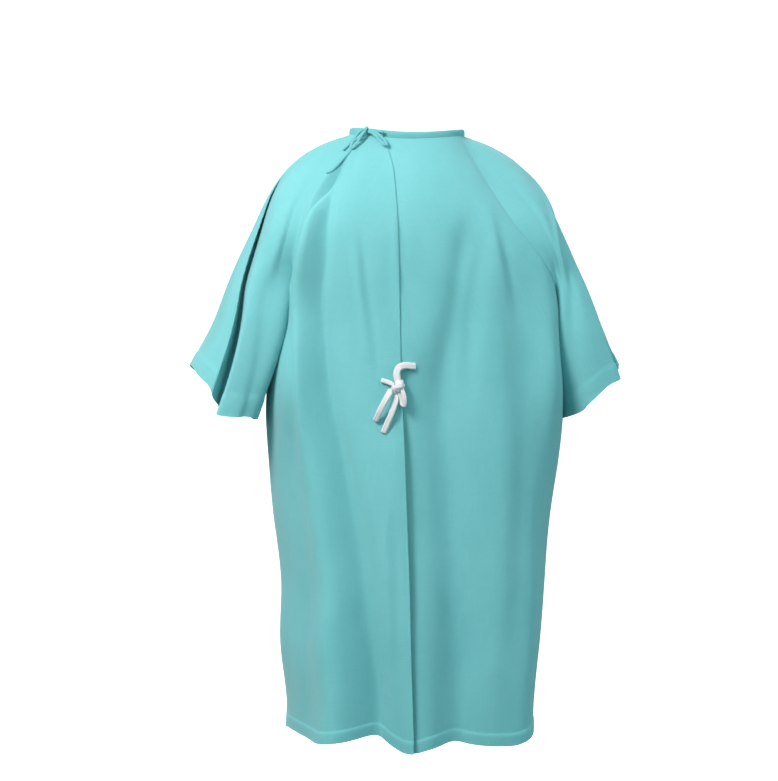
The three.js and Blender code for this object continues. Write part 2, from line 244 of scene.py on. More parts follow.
BACK = SimpleNamespace(
    sign=1, neck_depth=NECK_BACK_DEPTH, neck_drop=NECK_BACK_DROP, raglan=BACK_RAGLAN, fall=back_fall,
    depth=back_depth, sleeve_depth=SLEEVE_BACK_DEPTH, hem=HEM_LEVEL, hem_turn=2,
)
FRONT = SimpleNamespace(
    sign=-1, neck_depth=NECK_FRONT_DEPTH, neck_drop=NECK_FRONT_DROP, raglan=FRONT_RAGLAN, fall=front_fall,
    depth=front_depth, sleeve_depth=SLEEVE_FRONT_DEPTH, hem=HEM_LEVEL + FRONT_HEM_RISE, hem_turn=1,
)


def neck_point(angle):
    side = BACK if math.sin(angle) >= 0 else FRONT
    x, y = NECK_HALF_WIDTH * math.cos(angle), side.neck_depth * math.sin(angle)
    return np.array([x, y, -side.neck_drop * math.sin(angle) ** 2])


def seam_point(side, m):
    """The left raglan seam, from the neckline at m = 0 to the underarm at m = 1."""
    start = neck_point(side.sign * side.raglan)
    m = min(1.0, m)
    bulge = SHOULDER_BLADE_BULGE * max(0.0, math.sin(math.pi * m**1.3)) ** 0.8
    y = start[1] * (1 - m) + side.sign * bulge
    return np.array([mix(start[0], CHEST_HALF_WIDTH, m), y, mix(start[2], UNDERARM_LEVEL, m)])


class BodyRow:
    """One row of the body, at a fraction 0..1 from neckline to underarm, or 1..2 from there to the hem."""

    def __init__(self, side, row):
        self.side, self.row = side, row
        self.m = min(1.0, row)
        self.end = side.raglan * (1 - self.m)
        self.power = 1 - SQUARENESS * self.m
        self.seam = seam_point(side, self.m)
        self.depth = float(side.fall(self.m))
        self.low = max(0.0, row - 1)
        self.level = mix(-side.neck_drop, UNDERARM_LEVEL, self.m)
        if row > 1:
            self.level = mix(UNDERARM_LEVEL, side.hem, self.low)

    def at(self, angle):
        side, power = self.side, self.power
        c, s = np.cos(angle), np.abs(np.sin(angle))
        reach = np.abs(c) ** power / math.cos(self.end) ** power
        if self.row <= 1:
            lift = (1 - s**power) / (1 - math.sin(self.end) ** power)
            x = np.sign(c) * self.seam[0] * reach
            y = side.sign * self.depth - (side.sign * self.depth - self.seam[1]) * lift
            z = self.level + (self.seam[2] - self.level) * reach * reach
            return np.stack([x, y, z], -1)
        bottom = mix(SIDE_HEM_LEVEL, side.hem, s**side.hem_turn)
        z = mix(UNDERARM_LEVEL, bottom, self.low)
        y = side.sign * side.depth(z) * s**power
        return np.stack([np.sign(c) * half_width(z) * reach, y, z], -1)

    def angle_at(self, line):
        """Where the row crosses a line down the body, which gives x for each level."""
        x = line(self.level)
        width = self.seam[0] if self.row <= 1 else float(half_width(self.level))
        share = min(1.0, abs(x) / width * math.cos(self.end) ** self.power)
        angle = math.acos(share ** (1 / self.power))
        return math.pi - angle if x < 0 else angle


# ---- the sleeve's form ----

ridge_across = profile(
    [(0, NECK_HALF_WIDTH), (0.1, 0.145), (0.22, 0.189), (CUFF_ROW, 0.232), (0.64, 0.272), (1, 0.326),
     (HEM_REACH, SLEEVE_HEM_OUT)]
)
ridge_level = profile(
    [(0, 0), (0.1, -0.016), (0.22, -0.042), (CUFF_ROW, -0.088), (0.64, -0.171), (1, -0.292),
     (HEM_REACH, SLEEVE_HEM_LEVEL)]
)


def inner_point(m):
    t = (m - 1) / (HEM_REACH - 1)
    x, z = mix(CHEST_HALF_WIDTH, SLEEVE_HEM_IN, t), mix(UNDERARM_LEVEL, SLEEVE_INNER_LEVEL, t)
    return np.array([x, 0.0, z])


def sleeve_half(side, m, t):
    """Half of a sleeve row: from the shoulder line at t = 0 to the seam or the underarm line at t = 1."""
    start = np.array([float(ridge_across(m)), 0.0, float(ridge_level(m))])
    stop = seam_point(side, m) if m < 1 else inner_point(m)
    arc = 4 / 3 * math.tan(side.raglan / 4)
    neck_angle = math.atan2(side.neck_depth * math.cos(side.raglan), -NECK_HALF_WIDTH * math.sin(side.raglan))
    turn = mix(neck_angle, math.pi * 1.5, min(1.0, m) ** 1.2)
    arrive = np.array([math.cos(turn), math.sin(turn) * side.sign, 0.0])
    full = side.sleeve_depth / 0.75  # a curve bulges by three quarters of its handles

    def handle(at_neck, at_cuff):
        return float(profile([(0, arc * at_neck), (CUFF_ROW, at_cuff), (1, full), (HEM_REACH, full)])(m))

    stop_share = 4 / 3 * side.sign * stop[1] * float(smooth((m - CUFF_ROW) / (1 - CUFF_ROW)))
    b = start + np.array([0, side.sign * handle(side.neck_depth, 0.08), 0])
    c = stop - arrive * (handle(0.085, 0.04) - stop_share)
    t = np.asarray(t)[:, None]
    return start * (1 - t) ** 3 + 3 * b * t * (1 - t) ** 2 + 3 * c * t * t * (1 - t) + stop * t**3


# ---- thin solids from grids of points ----


def grid_normals(grid):
    """Outward normals of a grid whose rows run down and whose columns run towards the wearer's right."""
    down = np.gradient(grid, axis=0)
    across = np.gradient(grid, axis=1)
    return unit(np.cross(across, down))


def step_lengths(grid):
    """Lengths of the steps along each row, and down each column."""
    return [np.linalg.norm(np.diff(grid, axis=axis), axis=2) for axis in (1, 0)]


def cloth_uv(grid):
    """Places on the flat cloth, in metres: along each row, and down the columns."""
    across, down = step_lengths(grid)
    u = np.concatenate([np.zeros((grid.shape[0], 1)), np.cumsum(across, axis=1)], axis=1)
    v = np.concatenate([np.zeros((1, grid.shape[1])), np.cumsum(down, axis=0)], axis=0)
    return u - u[:, u.shape[1] // 2 : u.shape[1] // 2 + 1], v


def mesh_object(name, points, faces, material, uv=None, sharp=60):
    mesh = bpy.data.meshes.new(name)
    mesh.from_pydata([tuple(p) for p in points], [], [tuple(int(k) for k in f) for f in faces])
    mesh.polygons.foreach_set("use_smooth", [True] * len(mesh.polygons))
    mesh.set_sharp_from_angle(angle=math.radians(sharp))
    if uv is not None:
        layer = mesh.uv_layers.new(name="cloth")
        layer.data.foreach_set("uv", np.asarray(uv, np.float32).ravel())
    mesh.materials.append(material)
    return link(bpy.data.objects.new(name, mesh))


def thin_solid(name, grid, thickness, material, flip=False, weld_from=None):
    """The grid's cloth as a closed solid with its thickness to the inside.

    From row weld_from on, the last column is the first one, so that the cloth is a tube there."""
    rows, columns = grid.shape[:2]
    number = np.arange(rows * columns).reshape(rows, columns)
    vertex = number.copy()
    if weld_from is not None:
        vertex[weld_from:, -1] = vertex[weld_from:, 0]
    u, v = cloth_uv(grid)
    corner_uv = np.stack([u.ravel(), v.ravel()], -1)
    cells = np.stack([number[:-1, :-1], number[1:, :-1], number[1:, 1:], number[:-1, 1:]], -1).reshape(-1, 4)
    if flip:
        cells = cells[:, ::-1]
    points = grid.reshape(-1, 3)
    faces = vertex.ravel()[cells]
    a, b, c, d = (points[cells[:, k]] for k in range(4))
    face_normals = np.cross(c - a, d - b)
    normals = np.zeros_like(points)
    for k in range(4):
        np.add.at(normals, faces[:, k], face_normals)
    normals = unit(normals)
    depth = np.broadcast_to(thickness, (rows, columns)).reshape(-1, 1)
    inner = points - normals * depth
    edges = {}
    for face, cell in zip(faces, cells):
        for k in range(4):
            p, q = int(face[k]), int(face[(k + 1) % 4])
            key = (min(p, q), max(p, q))
            edges[key] = None if key in edges else (p, q, int(cell[k]), int(cell[(k + 1) % 4]))
    rim = [edge for edge in edges.values() if edge]
    count = len(points)
    all_faces = [tuple(f) for f in faces] + [tuple(f[::-1] + count) for f in faces]
    all_uv = [corner_uv[cells].reshape(-1, 2), corner_uv[cells[:, ::-1]].reshape(-1, 2)]
    for p, q, cp, cq in rim:
        all_faces.append((q, p, p + count, q + count))
        all_uv.append(corner_uv[[cq, cp, cp, cq]])
    used = np.unique(np.concatenate([np.asarray(f) for f in all_faces]))
    renumber = -np.ones(2 * count, int)
    renumber[used] = np.arange(len(used))
    all_points = np.concatenate([points, inner])[used]
    all_faces = [tuple(renumber[list(f)]) for f in all_faces]
    return mesh_object(name, all_points, all_faces, material, np.concatenate(all_uv))


# ---- materials ----


class Nodes:
    """A short way to write a node tree."""

    def __init__(self, tree):
        self.tree = tree

    def add(self, kind, inputs=(), **settings):
        node = self.tree.nodes.new(kind)
        for key, value in settings.items():
            setattr(node, key, value)
        for key, value in dict(inputs).items():
            if isinstance(value, bpy.types.NodeSocket):
                self.tree.links.new(value, node.inputs[key])
            else:
                node.inputs[key].default_value = value
        return node

    def math(self, operation, a, b=0.0):
        return self.add("ShaderNodeMath", {0: a, 1: b}, operation=operation).outputs[0]

    def noise(self, uv, across, along, detail=2.0):
        """Soft noise of so many cycles a metre across the cloth and along it."""
        vector = self.add("ShaderNodeMapping", {"Vector": uv, "Scale": (across, along, 1)}).outputs["Vector"]
        noise = self.add("ShaderNodeTexNoise", {"Vector": vector, "Scale": 1.0, "Detail": detail})
        return noise.outputs["Fac"]

    def ramp(self, share, stops):
        """A colour between two stops, each a place and a colour."""
        node = self.add("ShaderNodeValToRGB", {"Fac": share})
        for element, (at, colour) in zip(node.color_ramp.elements, stops):
            element.position = at
            element.color = (*colour, 1)
        return node.outputs["Color"]


YARNS = (1100, 26)  # thick and thin yarns: cycles a metre across a yarn and along it


def woven_material(name, deep, light, thread=0.00075, sheen=0.28, slubs=0.3, twill=0.0):
    """Woven cloth: threads as a fine relief, thick and thin yarns both ways, and slow changes of colour."""
    made = bpy.data.materials.new(name)
    made.use_nodes = True
    n = Nodes(made.node_tree)
    shader = made.node_tree.nodes["Principled BSDF"].inputs
    uv = n.add("ShaderNodeUVMap", uv_map="cloth").outputs["UV"]
    split = n.add("ShaderNodeSeparateXYZ", {"Vector": uv})
    u, v = split.outputs["X"], split.outputs["Y"]
    turns = 2 * math.pi / thread
    slant = n.math("ADD", u, n.math("MULTIPLY", v, twill))
    warp = n.math("SINE", n.math("MULTIPLY", slant, turns))
    weft = n.math("SINE", n.math("MULTIPLY", v, turns))
    weave = n.math("MULTIPLY", warp, weft)
    yarns = n.math("ADD", n.noise(uv, *YARNS), n.noise(uv, *YARNS[::-1]))
    cloudy = n.noise(uv, 9, 5, 3.0)
    crumple = n.noise(uv, 70, 34, 4.0)

    shade = n.math("ADD", n.math("MULTIPLY", yarns, slubs), n.math("MULTIPLY", cloudy, 0.55))
    shade = n.math("ADD", shade, n.math("MULTIPLY", weave, 0.05))
    n.tree.links.new(n.ramp(shade, [(0.3, deep), (0.95, light)]), shader["Base Color"])

    rough = n.math("ADD", n.math("MULTIPLY", yarns, 0.1), 0.72)
    n.tree.links.new(rough, shader["Roughness"])
    fine = n.math("ADD", n.math("MULTIPLY", weave, 0.5), n.math("MULTIPLY", yarns, 1.2))
    soft = n.add("ShaderNodeBump", {"Height": crumple, "Strength": 0.3, "Distance": 0.0016})
    relief = n.add(
        "ShaderNodeBump",
        {"Height": fine, "Strength": 0.55, "Distance": thread * 0.35, "Normal": soft.outputs["Normal"]},
    )
    n.tree.links.new(relief.outputs["Normal"], shader["Normal"])
    shader["Sheen Weight"].default_value = sheen
    shader["Sheen Roughness"].default_value = 0.45
    shader["Specular IOR Level"].default_value = 0.22
    return made


cloth_teal = woven_material("gown_cloth", (0.142, 0.51, 0.528), (0.24, 0.668, 0.688))
thread_teal = woven_material(
    "stitching_thread", (0.175, 0.545, 0.57), (0.29, 0.72, 0.74), thread=0.0004, sheen=0.1
)
# a darker copy of the gown's teal for the neck binding and the neck tie: partly the tape's own darker tone,
# partly painted shade for the neck's ties, which hang in shadow
binding_teal_with_painted_shade = woven_material("binding_cloth", (0.12, 0.455, 0.48), (0.195, 0.6, 0.625))
tie_white = woven_material(
    "waist_tie_cloth", (0.66, 0.7, 0.705), (0.88, 0.895, 0.89), 0.0009, sheen=0.3, slubs=0.45, twill=1.0
)

# ---- how the cloth hangs ----


LEAN = 2.33  # makes x * exp(-x * x) one high at its peak


class Fold:
    """A soft fold that runs down the body through (level, x) points, from the lowest up.

    A round fold is a swell or a hollow. A leaning one is high on the wearer's left and low on the right.
    Its width and height go from their first value at the top to their second at the foot."""

    def __init__(self, points, width, height, leaning=False, ease=0.1):
        self.line = profile(points)
        self.foot, self.top = points[0][0], points[-1][0]
        self.width, self.height, self.leaning, self.ease = width, height, leaning, ease

    def lift(self, x, z):
        down = np.clip((self.top - z) / (self.top - self.foot), 0, 1)
        off = (x - self.line(z)) / mix(self.width[0], self.width[1], down)
        shape = np.exp(-(off**2)) * (LEAN * off if self.leaning else 1)
        ends = smooth((self.top - z) / self.ease) * smooth((z - self.foot) / self.ease)
        return shape * mix(self.height[0], self.height[1], down) * ends


LOW = -1.3  # below the hem, so that a fold runs out through it
BACK_FOLDS = [
    # the long fold from the raglan seam to the hem
    Fold([(LOW, 0.1), (-0.96, 0.117), (-0.8, 0.133), (-0.66, 0.15), (-0.53, 0.174), (-0.44, 0.186),
          (-0.33, 0.188), (-0.24, 0.18), (-0.11, 0.16), (-0.03, 0.12)],
         (0.012, 0.052), (0.01, 0.034), leaning=True, ease=0.05),
    # the broad hollow beside the free edge
    Fold([(LOW, -0.076), (-0.8, -0.07), (-0.6, -0.056), (-0.44, -0.046), (-0.3, -0.07), (-0.12, -0.085)],
         (0.022, 0.064), (-0.008, -0.054)),
    Fold([(LOW, -0.14), (-0.6, -0.138), (-0.16, -0.118)], (0.02, 0.03), (0.0035, 0.011)),
    # short folds across the shoulder blades
    Fold([(-0.46, 0.078), (-0.33, 0.09), (-0.16, 0.108)], (0.008, 0.01), (0.0035, 0.003), leaning=True),
    Fold([(-0.37, 0.02), (-0.3, 0.032), (-0.1, 0.04)], (0.008, 0.008), (0.0016, 0.003), leaning=True),
    Fold([(-0.36, -0.165), (-0.12, -0.125)], (0.012, 0.014), (0.004, 0.004), leaning=True),
    Fold([(-0.5, -0.072), (-0.36, -0.078), (-0.15, -0.108)], (0.01, 0.014), (0.003, 0.005), leaning=True),
    Fold([(-0.62, 0.235), (-0.2, 0.205)], (0.016, 0.016), (-0.004, -0.004)),
    # small folds above the hem
    Fold([(LOW, 0.04), (-0.6, 0.06)], (0.012, 0.018), (0.001, 0.006), leaning=True),
    Fold([(LOW, 0.175), (-0.7, 0.185)], (0.014, 0.018), (0.002, -0.006)),
    Fold([(LOW, -0.178), (-0.55, -0.188)], (0.014, 0.022), (0.003, 0.0075)),
]
FRONT_FOLDS = [
    Fold([(LOW, 0.088), (-0.2, 0.06)], (0.02, 0.032), (0.004, 0.013)),
    Fold([(LOW, 0.142), (-0.15, 0.11)], (0.018, 0.028), (-0.004, -0.013)),
    Fold([(LOW, 0.2), (-0.3, 0.17)], (0.018, 0.026), (0.004, 0.011)),
    Fold([(LOW, 0.012), (-0.34, 0.0)], (0.02, 0.036), (-0.005, -0.013)),
    Fold([(LOW, -0.08), (-0.18, -0.055)], (0.018, 0.03), (0.004, 0.014)),
    Fold([(LOW, -0.145), (-0.22, -0.108)], (0.018, 0.026), (-0.004, -0.012)),
    Fold([(LOW, -0.192), (-0.3, -0.165)], (0.018, 0.024), (0.004, 0.011)),
]

# how far the hem's edge rises, and how far its flutes stand out, along x
hem_shift = profile(
    [(-0.23, 0.012), (-0.172, -0.006), (-0.148, -0.003), (-0.111, 0.005), (-0.072, 0.015), (-0.014, 0.01),
     (0.016, 0.004), (0.037, 0.006), (0.084, 0.028), (0.129, 0.018), (0.163, 0.009), (0.205, 0.007),
     (0.24, 0.016)]
)
hem_flute = profile(
    [(-0.24, 0.0), (-0.19, 0.012), (-0.14, -0.008), (-0.06, 0.004), (0.0, 0.008), (0.07, -0.01),
     (0.13, 0.01), (0.19, -0.006), (0.24, 0.0)]
)
# how far each level leans to the wearer's right, because the wearer stands a little to one side
lean = profile(
    [(-1.05, -0.004), (-0.985, -0.002), (-0.88, 0.002), (-0.775, 0.009), (-0.67, 0.008), (-0.565, 0.011),
     (-0.45, 0.009), (-0.36, 0.006), (-0.28, 0.0)]
)
# and how much each level is taken in at its sides
taken_in = profile(
    [(-1.05, 0.004), (-0.985, 0.0075), (-0.88, 0.003), (-0.775, 0.007), (-0.67, 0.005), (-0.565, 0.002),
     (-0.45, 0.0), (-0.34, 0.0)]
)
SIDE_SWELL = 0.054  # how much fuller the back's sides are, a little below the armholes
FLUTES_FROM = -0.58  # the level where the hem's flutes start
UNEVEN = 0.0007  # height of the cloth's small swells

waves = np.random.RandomState(7)
WAVE_COUNT = 18
wave_directions = waves.normal(size=(WAVE_COUNT, 3)) * np.array([60.0, 60.0, 14.0])
wave_phases = waves.uniform(0, 2 * math.pi, WAVE_COUNT)


def unevenness(p):
    """Small swells of the cloth, longer down the cloth than across it."""
    return np.sin(p @ wave_directions.T + wave_phases).sum(-1) / math.sqrt(WAVE_COUNT)


def seam_out(p):
    """How far each raglan seam lies outside its place in the form, behind, where the arm pulls on it."""
    x, y, z = p[..., 0], p[..., 1], p[..., 2]
    left = 0.026 * bump(x, 0.155, 0.07) * bump(z, -0.14, 0.11)
    right = 0.036 * bump(x, -0.205, 0.07) * bump(z, -0.25, 0.11)
    return (left - right) * smooth(y / 0.05)


def drape(p):
    """Moves points of the body's form to where the cloth hangs.

    All the body's cloths and the sleeves' seam edges use it, so that seams stay shut."""
    p = p + seam_out(p)[..., None] * np.array([1.0, 0.0, 0.0])
    x, y, z = p[..., 0], p[..., 1], p[..., 2]
    back = smooth((y + 0.02) / 0.05)
    front = smooth((0.02 - y) / 0.05)
    lift = back * sum(fold.lift(x, z) for fold in BACK_FOLDS)
    lift = lift + front * sum(fold.lift(x, z) for fold in FRONT_FOLDS)
    lift = lift * smooth((0.245 - np.abs(x)) / 0.05)
    low = smooth((FLUTES_FROM - z) / 0.46)
    lift = lift + back * hem_flute(np.clip(x, -0.24, 0.24)) * low - front * 0.008 * np.sin(x * 34) * low
    calm = smooth((-0.02 - z) / 0.06)
    lift = lift + UNEVEN * unevenness(p) * calm
    out = unit(np.stack([x * 0.7, y, np.zeros_like(z)], -1))
    moved = p + out * lift[..., None]
    moved[..., 1] += back * SIDE_SWELL * bump(np.abs(x), 0.242, 0.042) * bump(z, -0.4, 0.125)
    near_hem = smooth((-0.8 - z) / 0.26)
    moved[..., 2] += back * hem_shift(np.clip(x, -0.23, 0.24)) * near_hem
    moved[..., 0] -= lean(z) * smooth(np.abs(x) / 0.2) + taken_in(z) * x / 0.22
    return moved


# ---- stitching ----


STITCH_RADIUS = 0.00034
STITCH_LIFT = 0.0001  # of a line of stitches off the cloth
STITCH_SIDES = 6
# a stitch's rings: place along it, share of its radius, and lift off the cloth
STITCH_RINGS = [
    (-0.5, 0.3, -0.0002), (-0.38, 0.85, 0.0), (0.0, 1.0, 0.00012), (0.38, 0.85, 0.0), (0.5, 0.3, -0.0002)
]


def stitches(line, outwards):
    """Small rounded stitches along a line; outwards holds the cloth's normal at each of its points."""
    lengths = np.linalg.norm(np.diff(line, axis=0), axis=1)
    along = np.concatenate([[0], np.cumsum(lengths)])

    def at(place, values):
        return np.array([np.interp(place, along, values[:, k]) for k in range(3)])

    points, faces = [], []
    for i in range(int(along[-1] / STITCH_PITCH)):
        middle = (i + 0.5) * STITCH_PITCH
        way = unit(at(middle + 0.001, line) - at(middle - 0.001, line))
        out = unit(at(middle, outwards))
        across = unit(np.cross(way, out))
        base = len(points)
        for place, size, lift in STITCH_RINGS:
            centre = at(middle, line) + way * place * STITCH
            for k in range(STITCH_SIDES):
                turn = 2 * math.pi * k / STITCH_SIDES
                radius = STITCH_RADIUS * size
                high = lift + radius * math.sin(turn)
                points.append(centre + out * high + across * radius * math.cos(turn))
        faces += [tuple(base + k for k in f) for f in tube_faces(len(STITCH_RINGS), STITCH_SIDES)]
    return points, faces


def stitching(name, rows_of_stitches):
    """One piece that holds several rows of stitches: pairs of a line and the normals along it."""
    points, faces = [], []
    for line, outwards in rows_of_stitches:
        more_points, more_faces = stitches(line, outwards)
        faces += [tuple(k + len(points) for k in f) for f in more_faces]
        points += more_points
    uv = [(points[k][0], points[k][2]) for f in faces for k in f]
    piece = mesh_object(name, points, faces, thread_teal, uv)
    return piece


def stitch_row(grid, out_sign, row=None, inset=None):
    """A line of stitches on a grid's outside: along one of its rows, or this far in from its first column."""
    normals = grid_normals(grid) * out_sign
    if row is not None:
        line, outwards = grid[row], normals[row]
    else:
        across, _ = step_lengths(grid)
        along = np.concatenate([np.zeros((len(grid), 1)), np.cumsum(across, axis=1)], axis=1)

        def at_inset(values):
            return np.array([[np.interp(inset, a, v[:, k]) for k in range(3)] for v, a in zip(values, along)])

        line, outwards = at_inset(grid), at_inset(normals)
    return line + outwards * STITCH_LIFT, outwards


# ---- the body's cloth ----


def spaced(start, stop, step):
    return np.linspace(start, stop, max(2, int(round(abs(stop - start) / step)) + 1))


# rows down the body, close together in the hem
ROWS = np.concatenate([spaced(0, 1, 0.02), spaced(1, 1.965, 0.0105)[1:], spaced(1.965, 2, 0.0025)[1:]])
# how far each row is above the hem: 0.734 m of cloth for one unit of a row's number below the underarm
HEIGHTS = (2.0 - ROWS) * 0.734
HEM_PROUD = 0.0007


def hem_layers(height):
    """Thickness of the cloth at this height above its edge: three layers in the turned hem."""
    return FABRIC * (1 + 2.0 * smooth((HEM_HEIGHT - height) / 0.0015))


def hem_step(height):
    """How far the turned hem stands proud."""
    return HEM_PROUD * smooth((HEM_HEIGHT + 0.001 - height) / 0.002)


def raise_cloth(grid, relief):
    """Moves a grid along its outward normals by relief, one number a row, a column or a point."""
    return grid + grid_normals(grid) * np.broadcast_to(relief, grid.shape[:2])[..., None]


EASE_PASSES = 40


def eased(grid, rows, share):
    """Rounds the slight bend at the underarm's row, as much as share says at each point."""
    rounded = grid.copy()
    for _ in range(EASE_PASSES):
        rounded[1:-1] = (rounded[:-2] + 2 * rounded[1:-1] + rounded[2:]) / 4
    weight = bump(rows, 1.0, 0.3)[:, None] * share
    return grid + (rounded - grid) * weight[..., None]


def body_grid(side, angles_of):
    rows = []
    for row in ROWS:
        made = BodyRow(side, float(row))
        rows.append(made.at(angles_of(made)))
    grid = np.array(rows)
    reach = np.abs(grid[..., 0])
    from_seam = 1 - reach / reach.max(axis=1, keepdims=True)
    return eased(grid, ROWS, smooth(from_seam / 0.15))


def vent_line(level):
    """x of the wrap's free edge, and below the waist tie of the line that the free corner swings about."""
    if level >= VENT_TOP:
        return float(top_edge(level)) + 0.0003
    down = np.clip((VENT_TOP - level) / (VENT_TOP - HEM_LEVEL), 0, 1)
    return mix(float(top_edge(VENT_TOP)), VENT_HEM_REACH, down)


seam_share = np.concatenate([1 - np.linspace(1, 0.05, 52), 1 - np.linspace(0.045, 0, 10)])


def between(a, b):
    """Angles from a to b, close together at b, where a seam is."""
    return a + (b - a) * seam_share


def seam_relief():
    """The roll of the cloth beside a sewn seam, which lies in a groove at the end column."""
    away = 1 - seam_share
    return 0.003 * smooth(away / 0.06) * smooth((0.3 - away) / 0.22)


HEM_ROW = int(np.argmin(np.abs(HEIGHTS - STITCH_INSET)))
UNDERARM_ROW = int(np.argmax(ROWS >= 1)) + 1
VENT_ROW = int(np.argmax([BodyRow(BACK, float(r)).level < VENT_TOP for r in ROWS]))

# how far the wrap's free edge stands off the layer under it, at each level
edge_stand = profile(
    [(LOW, 0.004), (-0.95, 0.005), (-0.75, 0.009), (-0.56, 0.009), (-0.47, 0.003), (-0.4, 0.0)]
)


def proud(grid):
    """The wrap's free edge stands a little off the layer under it, below the waist tie."""
    stood = grid.copy()
    stood[..., 1] += edge_stand(grid[..., 2]) * bump(grid[..., 0], top_edge(grid[..., 2]), 0.055)
    return stood


def pushed_in(grid):
    """The layer under the wrap lies inside the top one, and further in below the waist tie."""
    depth = mix(0.0021, 0.005, smooth((-0.36 - grid[..., 2]) / 0.12))
    depth = depth * smooth((grid[..., 0] - top_edge(grid[..., 2]) + 0.11) / 0.08)
    return grid + grid_normals(grid) * depth[..., None]


def finish_cloth(piece, nodes, sewn):
    for part in (piece, sewn):
        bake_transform(part)
    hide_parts(*nodes)


def make_body():
    """The two halves of the front, and the three cloths of the back."""
    height = HEIGHTS[:, None]
    thickness = hem_layers(height)
    # the hem stands proud, with a shallow line where it is stitched
    relief = hem_step(height) - 0.0006 * bump(height, HEM_HEIGHT - 0.002, 0.0022)

    def cloth(
        name, node, side, angles_of, outward, shaped=np.copy, roll=0.0, edge=None, first=0
    ):
        """One cloth: edge holds the rows that are stitched along its free edge.

        The free corner starts at row first, and has no raglan seam."""
        base = body_grid(side, angles_of)[first:]
        grid = raise_cloth(drape(shaped(base)), outward * relief[first:] + roll)
        lines = [stitch_row(grid, outward, row=HEM_ROW - first)]
        if first == 0:
            lines.append(stitch_row(grid[:UNDERARM_ROW, ::-1], -outward, inset=SEAM_STITCH_INSET))
        if edge:
            lines.append(stitch_row(grid[edge], outward, inset=STITCH_INSET))
        piece = thin_solid(name, grid, thickness[first:], cloth_teal, flip=outward < 0)
        sewn = stitching(name + "_stitching", lines)
        finish_cloth(piece, [node], sewn)

    corner_share = np.concatenate([np.linspace(0, 0.3, 14), np.linspace(0.3, 1, 18)[1:]])
    cloth(
        "front_left_half", "front_panel", FRONT, lambda row: between(math.pi / 2, row.end), -1,
    )
    cloth(
        "front_right_half", "front_panel", FRONT, lambda row: between(math.pi / 2, math.pi - row.end), 1,
    )
    cloth(
        "back_left_cloth", "back_left_panel", BACK, lambda row: between(row.angle_at(vent_line), row.end), 1,
        shaped=proud, roll=seam_relief(), edge=slice(VENT_ROW),
    )
    cloth(
        "back_left_free_corner", "back_left_flap", BACK,
        lambda row: mix(row.angle_at(top_edge), row.angle_at(vent_line), corner_share), 1,
        shaped=proud, edge=slice(3, None), first=VENT_ROW - 1,
    )
    cloth(
        "back_right_cloth", "back_right_panel", BACK,
        lambda row: between(row.angle_at(under_edge), math.pi - row.end), -1,
        shaped=pushed_in, edge=slice(None),
    )


# ---- the sleeves ----

# columns from the front seam round the arm to the back one, and rows from the neck to the hem
SLEEVE_COLUMNS = np.concatenate(
    [-np.linspace(1, 0, 56), np.linspace(0, 0.16, 9)[1:], np.linspace(0.16, 0.44, 42)[1:],
     np.linspace(0.44, 1, 42)[1:]]
)
SLEEVE_ROWS = np.concatenate(
    [spaced(0, 1, 0.0135), spaced(1, 1.28, 0.012)[1:], spaced(1.28, HEM_REACH, 0.004)[1:]]
)
SLEEVE_PER_ROW = 0.36  # metres of cloth for one unit of m below the underarm
FLAT_FROM = 0.48  # where across the sleeve's back the cloth starts to run straight to the raglan seam


# How each sleeve hangs. The valley is the deep fold between its front, which swings out behind, and its
# back. The crease is where its back turns over at the arm: the body's side of it stands proud. Flatness
# is how straight its back runs to the raglan seam, and lap how far it lies over the body's side.
LEFT_HANG = SimpleNamespace(
    valley_at=profile([(0.3, 0.1), (0.5, 0.16), (0.66, 0.21), (1, 0.33), (HEM_REACH, 0.39)]),
    valley_depth=profile([(0.28, 0), (0.42, 0.03), (0.66, 0.056), (1, 0.062), (HEM_REACH, 0.05)]),
    overhang=profile([(0.3, 0), (0.66, -0.002), (1, 0.006), (HEM_REACH, 0.016)]),
    crease_at=profile([(0.55, 0.5), (1, 0.66), (HEM_REACH, 0.76)]),
    crease_depth=profile([(0.6, 0), (1, 0.003), (HEM_REACH, 0.006)]),
    flatness=0.9,
    lap=profile([(0.66, 0), (0.9, 0.028), (1, 0.024), (1.15, 0.014), (HEM_REACH, 0.003)]),
    hem_drop=0.04,
    tuck=0.008,
)
RIGHT_HANG = SimpleNamespace(
    valley_at=profile([(0.74, 0.12), (1, 0.2), (HEM_REACH, 0.26)]),
    valley_depth=profile([(0.72, 0), (0.95, 0.022), (HEM_REACH, 0.045)]),
    overhang=profile([(0.72, 0), (HEM_REACH, 0.01)]),
    crease_at=profile([(0.28, 0.04), (0.45, 0.2), (0.7, 0.45), (1, 0.7), (HEM_REACH, 0.84)]),
    crease_depth=profile([(0.26, 0), (0.5, 0.005), (1, 0.006), (HEM_REACH, 0.008)]),
    flatness=0.72,
    lap=profile([(0.7, 0), (0.92, 0.016), (1, 0.014), (HEM_REACH, 0)]),
    hem_drop=-0.004,
    tuck=0.0,
)


def crease_relief(hang, m, s):
    """How far the crease and the front's ripples stand out."""
    off = (s - hang.crease_at(m)) / 0.085
    lift = hang.crease_depth(m) * LEAN * off * np.exp(-(off**2)) * smooth((1.0 - s) / 0.1)
    ripple = 0.004 * np.sin(9.0 * s + 2.0 * m) * smooth((m - 0.5) / 0.8) * (s < 0)
    return lift + ripple * smooth((1 + s) / 0.2)


